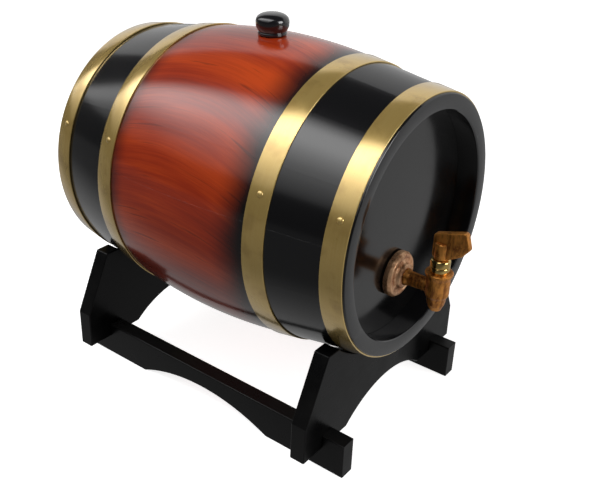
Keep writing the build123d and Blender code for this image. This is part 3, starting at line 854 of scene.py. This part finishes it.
collar_radius = (collar_high.x - collar_low.x) / 2
stem_hole = 0.00355
collar_outline = [
    (boss_radius, cup_top, 0),
    (collar_radius, cup_top, 0.0005),
    (collar_radius, cup_top + 0.0042, 0.0008),
    (collar_radius - 0.0004, cup_top + 0.0046, 0.0003),
    (collar_radius, cup_top + 0.0050, 0.0008),
    (collar_radius, collar_high.z, 0.0016),
    (stem_hole, collar_high.z, 0.0003),
    (stem_hole, boss_top, 0),
    (boss_radius, boss_top, 0),
]
finish_piece("gland_collar_gold", turn_profile(collar_outline, tap_axis, (0, 0, 1), (1, 0, 0), 72),
             [polished_gold()], "barrel", "gland_collar")

handle_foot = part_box("tap_handle")[0].z
handle_thickness = 0.005
handle_edge_round = 0.0007
handle_corner = 0.0022
handle_hub_radius = 0.005
handle_hub_height = 0.0115
stem_square = 0.0048
stem_rise = 0.0082
wing_corners = [                  # (in front of the stem's axis, above the handle's foot)
    (-0.0060, 0.0),
    (0.0060, 0.0012),
    (0.0152, 0.0065),
    (0.0200, 0.0125),
    (0.0166, 0.0240),
    (-0.0060, 0.0170),
]


def make_wing():
    """The flat wing: its outline is cast with round corners and its edges are eased."""
    bm = bmesh.new()
    points = [
        tap_axis + Vector((-handle_thickness / 2, -out, handle_foot + rise))
        for out, rise in wing_corners
    ]
    face = rounded_face(bm, points, [handle_corner] * len(points), 6)
    grown = bmesh.ops.extrude_face_region(bm, geom=[face])
    moved = [item for item in grown["geom"] if isinstance(item, bmesh.types.BMVert)]
    bmesh.ops.translate(bm, vec=(handle_thickness, 0, 0), verts=moved)
    bmesh.ops.recalc_face_normals(bm, faces=bm.faces)
    rims = {edge for side in bm.faces if len(side.verts) > 4 for edge in side.edges}
    bmesh.ops.bevel(bm, geom=list(rims), offset=handle_edge_round, affect="EDGES", segments=3,
                    profile=0.5, material=-1)
    return bm


hub_outline = [
    (0, handle_foot, 0),
    (handle_hub_radius, handle_foot, 0.0005),
    (handle_hub_radius, handle_foot + handle_hub_height, 0.0008),
    (0, handle_foot + handle_hub_height, 0),
]
hub = loose_object(turn_profile(hub_outline, tap_axis, (0, 0, 1), (1, 0, 0), 64))
handle_mesh = boolean(hub, loose_object(make_wing()), "UNION")
socket_bm = bmesh.new()
bmesh.ops.create_cube(socket_bm, size=1.0, matrix=(
    Matrix.Translation(tap_axis + Vector((0, 0, handle_foot + (stem_rise - 0.001) / 2)))
    @ Matrix.Diagonal((stem_square, stem_square, stem_rise + 0.001, 1))))
casting = bpy.data.objects.new("casting", handle_mesh)
bpy.context.scene.collection.objects.link(casting)
handle_mesh = boolean(casting, loose_object(socket_bm), "DIFFERENCE")
finish_mesh("tap_wing_handle", handle_mesh, [bronze], "valve", "tap_handle", radians(28))


def turned_metal(name, low, high, roughness):
    """Plain turned or drawn metal with fine tool marks."""
    material, shader = make_material(name, Metallic=1.0, Roughness=roughness)
    marks = add_noise(material, coordinate(material, "object"), 1800, 2, 0.6, (0.3, 0.3, 1))
    connect(add_mix(material, marks, low, high), shader.inputs["Base Color"])
    set_bump(material, shader, marks, 0.08, 0.0001)
    return material


plug_brass = turned_metal("plug_brass", (0.6, 0.42, 0.16, 1), (0.8, 0.6, 0.27, 1), 0.25)
pin_steel = turned_metal("pin_steel", (0.45, 0.45, 0.46, 1), (0.62, 0.62, 0.63, 1), 0.28)
screw_steel = turned_metal("screw_steel", (0.30, 0.30, 0.32, 1), (0.52, 0.52, 0.54, 1), 0.33)
black_rubber = soft_silicone("black_rubber", (0.010, 0.010, 0.010, 1), (0.022, 0.022, 0.022, 1))
for node, material in (("valve_plug", plug_brass), ("handle_pin", pin_steel),
                       ("stand_screws", screw_steel), ("plug_o_rings", black_rubber)):
    set_node_material(node, material)

# ---- Stand ----
# Two cradle boards stand on two runners, halved over each other at the four crossings and screwed
# from below. The wood is sawn, sanded, sprayed black and left satin.
stand_black = (0.0012, 0.0012, 0.0014, 1)
stand_worn = (0.0042, 0.0041, 0.0040, 1)
rear_low, rear_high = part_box("rear_cradle")
front_low, front_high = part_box("front_cradle")
rail_low, rail_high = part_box("right_rail")
foot_x = rear_high.x
foot_z = rear_low.z
horn_z = rear_high.z
cradle_thickness = rear_high.y - rear_low.y
rail_width = rail_high.x - rail_low.x
rail_centre_x = (rail_high.x + rail_low.x) / 2
saddle_radius = outer_radius(rear_low.y - barrel_centre.y) + 0.0003
horn_width = 0.0112
hip_inset = 0.0006                # the hips stand in this far from the feet
hip_z = 0.0452
arch_radius = 0.080
arch_crown_z = barrel_centre.z - saddle_radius - 0.0315
halving_z = (rail_high.z + foot_z) / 2
rail_arch_half = 0.062
rail_arch_rise = 0.0138
board_edge_round = 0.0007
horn_corner_round = 0.0015
screw_hole_radius = 0.0038
flat_angle = radians(15)          # the boards' faces stay flat up to their eased edges


def black_wood():
    """Satin black paint that lets a little of the grain and the sanding show."""
    material, shader = make_material("satin_black_wood", Specular_IOR_Level=0.17)
    place = coordinate(material, "object")
    grain = add_noise(material, place, 600, 3, 0.6, (0.05, 1, 1))
    clouds = add_noise(material, place, 45, 3, 0.6)
    colour = add_ramp(material, clouds, [(0.4, stand_black), (0.75, stand_worn)])
    worn = add_node(material, "ShaderNodeNewGeometry").outputs["Pointiness"]
    edges = add_range(material, worn, 0.53, 0.60, 0.0, 0.5)
    rubbed = add_mix(material, edges, colour, (0.012, 0.012, 0.012, 1))
    connect(rubbed, shader.inputs["Base Color"])
    set_range(material, shader, "Roughness", clouds, 0.3, 0.7, 0.26, 0.38)
    set_bump(material, shader, grain, 0.25, 0.00015)
    return material


def arc_points(centre_x, centre_z, radius, start, end, steps):
    """Points along an arc from one angle to another, anticlockwise from +X."""
    return [
        (centre_x + radius * cos(start + (end - start) * step / steps),
         centre_z + radius * sin(start + (end - start) * step / steps))
        for step in range(steps + 1)
    ]


def make_board(points, rounds, direction, thickness):
    """A board sawn to an outline, its edges eased; thickness goes along the direction."""
    bm = bmesh.new()
    face = rounded_face(bm, points, rounds, 4)
    grown = bmesh.ops.extrude_face_region(bm, geom=[face])
    moved = [item for item in grown["geom"] if isinstance(item, bmesh.types.BMVert)]
    bmesh.ops.translate(bm, vec=Vector(direction) * thickness, verts=moved)
    bmesh.ops.recalc_face_normals(bm, faces=bm.faces)
    rims = {edge for side in bm.faces if len(side.verts) > 4 for edge in side.edges}
    bmesh.ops.bevel(bm, geom=list(rims), offset=board_edge_round, affect="EDGES", segments=2,
                    profile=0.5, material=-1)
    return bm


def make_cradle(low_y):
    """A cradle board: saddle, horns, legs notched for the runners, and the arch between them."""
    horn_rise = horn_z - barrel_centre.z
    horn_inner_x = sqrt(saddle_radius**2 - horn_rise**2)
    hip_x = foot_x - hip_inset
    horn_outer_x = horn_inner_x + horn_width
    arch_centre_z = arch_crown_z - arch_radius
    arch_half = sqrt(arch_radius**2 - (foot_z - arch_centre_z) ** 2)
    saddle_end = Vector((horn_inner_x, horn_rise)).angle_signed(Vector((1, 0)))
    saddle = arc_points(0, barrel_centre.z, saddle_radius, -pi - saddle_end, saddle_end, 56)
    arch_start = Vector((arch_half, foot_z - arch_centre_z)).angle_signed(Vector((1, 0)))
    arch = arc_points(0, arch_centre_z, arch_radius, arch_start, pi - arch_start, 32)
    notch_out = rail_centre_x + rail_width / 2
    notch_in = rail_centre_x - rail_width / 2
    right_side = [
        (horn_outer_x, horn_z), (hip_x, hip_z), (foot_x, foot_z), (notch_out, foot_z),
        (notch_out, halving_z), (notch_in, halving_z), (notch_in, foot_z),
    ]
    left_side = [(-x, z) for x, z in reversed(right_side)]
    outline = saddle + right_side + arch + left_side
    horn_corners = {len(saddle) - 1, len(saddle), len(outline) - 1, 0}
    points = [Vector((x, low_y, z)) for x, z in outline]
    rounds = [horn_corner_round if index in horn_corners else 0 for index in range(len(points))]
    return make_board(points, rounds, (0, 1, 0), cradle_thickness)


def make_rail(centre_x):
    """A runner: arched underneath, notched on top for the cradles' legs."""
    middle_y = (rail_low.y + rail_high.y) / 2
    circle = (rail_arch_half**2 + rail_arch_rise**2) / (2 * rail_arch_rise)
    half_turn = Vector((rail_arch_half, circle - rail_arch_rise)).angle(Vector((0, 1)))
    arch = arc_points(middle_y, rail_arch_rise - circle, circle, pi / 2 + half_turn, pi / 2 - half_turn, 36)
    outline = [(rail_low.y, rail_low.z)] + arch + [
        (rail_high.y, rail_low.z), (rail_high.y, rail_high.z),
        (rear_high.y, rail_high.z), (rear_high.y, halving_z),
        (rear_low.y, halving_z), (rear_low.y, rail_high.z),
        (front_high.y, rail_high.z), (front_high.y, halving_z),
        (front_low.y, halving_z), (front_low.y, rail_high.z),
        (rail_low.y, rail_high.z),
    ]
    points = [Vector((centre_x - rail_width / 2, y, z)) for y, z in outline]
    board = loose_object(make_board(points, [0] * len(points), (1, 0, 0), rail_width))
    for crossing_y in ((front_low.y + front_high.y) / 2, (rear_low.y + rear_high.y) / 2):
        hole = drill(screw_hole_radius, (centre_x, crossing_y, -0.001), (centre_x, crossing_y, 0.0014), 48)
        mesh = boolean(board, hole, "DIFFERENCE")
        board = bpy.data.objects.new("board", mesh)
        bpy.context.scene.collection.objects.link(board)
    mesh = board.data
    bpy.data.objects.remove(board)
    return mesh


stand_paint = black_wood()
finish_piece("front_cradle_board", make_cradle(front_low.y), [stand_paint], "stand",
             "front_cradle", flat_angle)
finish_piece("rear_cradle_board", make_cradle(rear_low.y), [stand_paint], "stand",
             "rear_cradle", flat_angle)
for node, centre_x in (("left_rail", -rail_centre_x), ("right_rail", rail_centre_x)):
    finish_mesh(f"{node}_board", make_rail(centre_x), [stand_paint], "stand",
                node, flat_angle)

# ---- Floor and light ----
# A plain white floor that lights itself a little. One long soft panel hangs overhead to the left and
# behind, brightest near its edge; a white wall stands on the right, and a small panel in front.
floor_half = 6.0
floor_bm = bmesh.new()
bmesh.ops.create_grid(floor_bm, x_segments=2, y_segments=2, size=floor_half)
floor_mesh = bpy.data.meshes.new("floor")
floor_bm.to_mesh(floor_mesh)
floor_bm.free()
floor = bpy.data.objects.new("floor", floor_mesh)
bpy.context.scene.collection.objects.link(floor)
floor_material = make_material(
    "white_sweep", Base_Color=(0.86, 0.86, 0.86, 1), Roughness=0.9, Specular_IOR_Level=0.0,
    Emission_Color=(1, 1, 1, 1), Emission_Strength=0.82)[0]
floor_mesh.materials.append(floor_material)
floor.visible_glossy = False
floor.visible_diffuse = False


def emitting_sheet(name, corners, brightness):
    """A lit sheet that only lights and mirrors; brightness(material, x, y) gives its strength."""
    bm = bmesh.new()
    bm.faces.new([bm.verts.new(corner) for corner in corners])
    mesh = bpy.data.meshes.new(name)
    bm.to_mesh(mesh)
    bm.free()
    sheet = bpy.data.objects.new(name, mesh)
    bpy.context.scene.collection.objects.link(sheet)
    sheet.visible_camera = False
    material = bpy.data.materials.new(f"{name}_glow")
    material.use_nodes = True
    tree = material.node_tree
    tree.nodes.remove(tree.nodes["Principled BSDF"])
    place = add_node(material, "ShaderNodeSeparateXYZ", Vector=coordinate(material, "object"))
    strength = brightness(material, place.outputs["X"], place.outputs["Y"])
    lamp = add_node(material, "ShaderNodeEmission", Strength=strength)
    tree.links.new(lamp.outputs["Emission"], tree.nodes["Material Output"].inputs["Surface"])
    mesh.materials.append(material)
    return sheet


def softbox_strength(material, x, y):
    """Brightest just inside its soft near edge, dimmer to the left and far behind."""
    across = add_range(material, x, softbox_near_x, softbox_near_x - softbox_width, steps="LINEAR")
    falloff = add_ramp(material, across,
                       [(place, (glow, glow, glow, 1)) for place, glow in softbox_falloff])
    behind = add_range(material, y, *softbox_fade_y, softbox_radiance, softbox_far_radiance)
    return add_math(material, "MULTIPLY", falloff, behind)


def card_strength(material, x, y):
    """A white card under the barrel and to its right; it fades out to the left."""
    return add_range(material, x, *card_fade_x, *card_glow)


# The softbox is 0.9 m above the barrel's axis; its glow is a share of its radiance, by the share
# of its width from the near edge.
softbox_height = barrel_centre.z + 0.9
softbox_near_x = -0.18
softbox_width = 2.2
softbox_near_y, softbox_far_y = -0.35, 4.0
softbox_radiance = 2.9
softbox_far_radiance = 1.218
softbox_fade_y = (0.9, 2.2)
softbox_falloff = [(0.0, 0.15), (0.07, 1), (0.15, 1), (0.24, 0.66), (0.36, 0.38), (0.55, 0.22), (1.0, 0.06)]
emitting_sheet("softbox", [
    (softbox_near_x, softbox_near_y, softbox_height),
    (softbox_near_x - softbox_width, softbox_near_y, softbox_height),
    (softbox_near_x - softbox_width, softbox_far_y, softbox_height),
    (softbox_near_x, softbox_far_y, softbox_height),
], softbox_strength)
card_half = 4.0
card_fade_x = (-0.30, -0.06)
card_glow = (0.10, 0.36)
card_drop = -0.004                # it lies just under the floor, and shows only in the gloss
card = emitting_sheet("white_card", [
    (-card_half, -card_half, card_drop), (card_half, -card_half, card_drop),
    (card_half, card_half, card_drop), (-card_half, card_half, card_drop),
], card_strength)
card.visible_shadow = False


def add_panel(name, centre, width, depth, aim, radiance):
    """A soft rectangular light panel that shines along the aim."""
    light = bpy.data.lights.new(name, "AREA")
    light.shape = "RECTANGLE"
    light.size = width
    light.size_y = depth
    light.energy = radiance * width * depth * pi
    panel = bpy.data.objects.new(name, light)
    facing = Vector(aim).normalized().to_track_quat("-Z", "Y").to_matrix().to_4x4()
    panel.matrix_world = Matrix.Translation(centre) @ facing
    panel.visible_camera = False
    bpy.context.scene.collection.objects.link(panel)


wall_radiance = 0.55
front_radiance = 6.0
add_panel("white_wall", (2.35, 0.50, 1.55), 9.0, 3.1, (-2.35, -0.50, 0), wall_radiance)
add_panel("front_panel", (0.30, -2.20, 1.00), 1.2, 1.2, (-0.30, 2.20, -0.85), front_radiance)

room = bpy.data.worlds.new("room")
room.use_nodes = True
room.node_tree.nodes["Background"].inputs["Color"].default_value = (1, 1, 1, 1)
room.node_tree.nodes["Background"].inputs["Strength"].default_value = 0.04
bpy.context.scene.world = room
